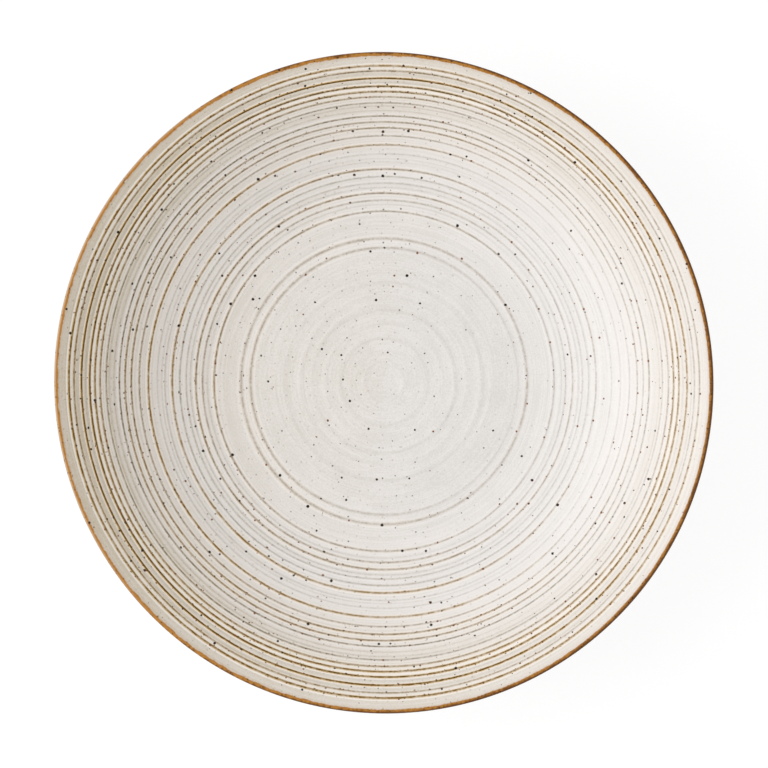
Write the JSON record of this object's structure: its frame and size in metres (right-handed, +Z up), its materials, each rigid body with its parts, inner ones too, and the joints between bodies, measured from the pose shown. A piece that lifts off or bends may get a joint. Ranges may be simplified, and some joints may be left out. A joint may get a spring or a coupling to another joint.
{
  "type": "soup plate",
  "caption": "Round deep coupe soup plate of glazed stoneware, with throwing rings on the inside, an iron-brown lip and a bare turned foot ring.",
  "frame": {"origin": "centre of the foot's contact plane, on the plate's axis", "axes": "+Z up along the plate's axis, out of the bowl; X and Y lie in the plane the foot stands on"},
  "size_m": [0.24, 0.24, 0.046],
  "materials": {
    "bare_clay": "fired stoneware, left bare and dry on the foot",
    "inside_glaze": "pale satin glaze with iron specks, breaking to brown on the throwing rings",
    "iron_band": "amber to dark brown iron glaze on the lip, with a broken edge",
    "outside_glaze": "pale satin glaze with iron specks",
    "base_glaze": "pale satin glaze with iron specks"
  },
  "bodies": {
    "root": {"stoneware_body": "bare_clay", "inside_glaze": "inside_glaze", "rim_band": "iron_band", "outside_glaze": "outside_glaze", "base_glaze": "base_glaze"}
  },
  "joints": []
}
